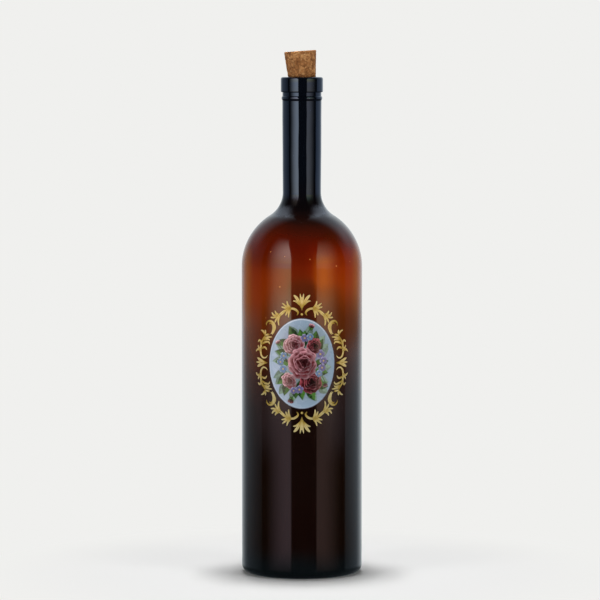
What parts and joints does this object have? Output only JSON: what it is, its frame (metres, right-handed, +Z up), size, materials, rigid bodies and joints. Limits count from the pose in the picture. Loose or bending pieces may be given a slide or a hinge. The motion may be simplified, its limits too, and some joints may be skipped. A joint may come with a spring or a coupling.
{
  "type": "decorative bottle",
  "caption": "Tall round glass bottle with a fade lacquer, an oval flower medallion in a gold scroll border and a tapered cork stopper that pulls out.",
  "frame": {"origin": "on the bottle's axis, at the plane that its base ring stands on", "axes": "+Z up along the bottle's axis, -Y out of the front through the medallion, +X to the right seen from the front"},
  "size_m": [0.08, 0.0804, 0.3479],
  "materials": {
    "lacquered_glass": "high gloss, black fading to amber round the shoulder",
    "cork": "bare pressed cork granules",
    "pale_enamel": "glossy, painted with a posy of flowers",
    "gold_enamel": "satin gold"
  },
  "bodies": {
    "bottle": {"glass_bottle": "lacquered_glass", "medallion_plate": "pale_enamel", "gold_palmette_top": "gold_enamel", "gold_bead_top": "gold_enamel", "gold_palmette_bottom": "gold_enamel", "gold_bead_bottom": "gold_enamel", "gold_palmette_left": "gold_enamel", "gold_acanthus_upper_left": "gold_enamel", "gold_c_scroll_upper_left": "gold_enamel", "gold_side_scroll_upper_left": "gold_enamel", "gold_acanthus_lower_left": "gold_enamel", "gold_c_scroll_lower_left": "gold_enamel", "gold_side_scroll_lower_left": "gold_enamel", "gold_palmette_right": "gold_enamel", "gold_acanthus_upper_right": "gold_enamel", "gold_c_scroll_upper_right": "gold_enamel", "gold_side_scroll_upper_right": "gold_enamel", "gold_acanthus_lower_right": "gold_enamel", "gold_c_scroll_lower_right": "gold_enamel", "gold_side_scroll_lower_right": "gold_enamel"},
    "cork": {"cork_stopper": "cork"}
  },
  "joints": [
    {"name": "cork_pull", "type": "slide", "parent": "bottle", "child": "cork", "axis": [-0.0698, 0, 0.9976], "range_m": [0, 0.05]}
  ]
}
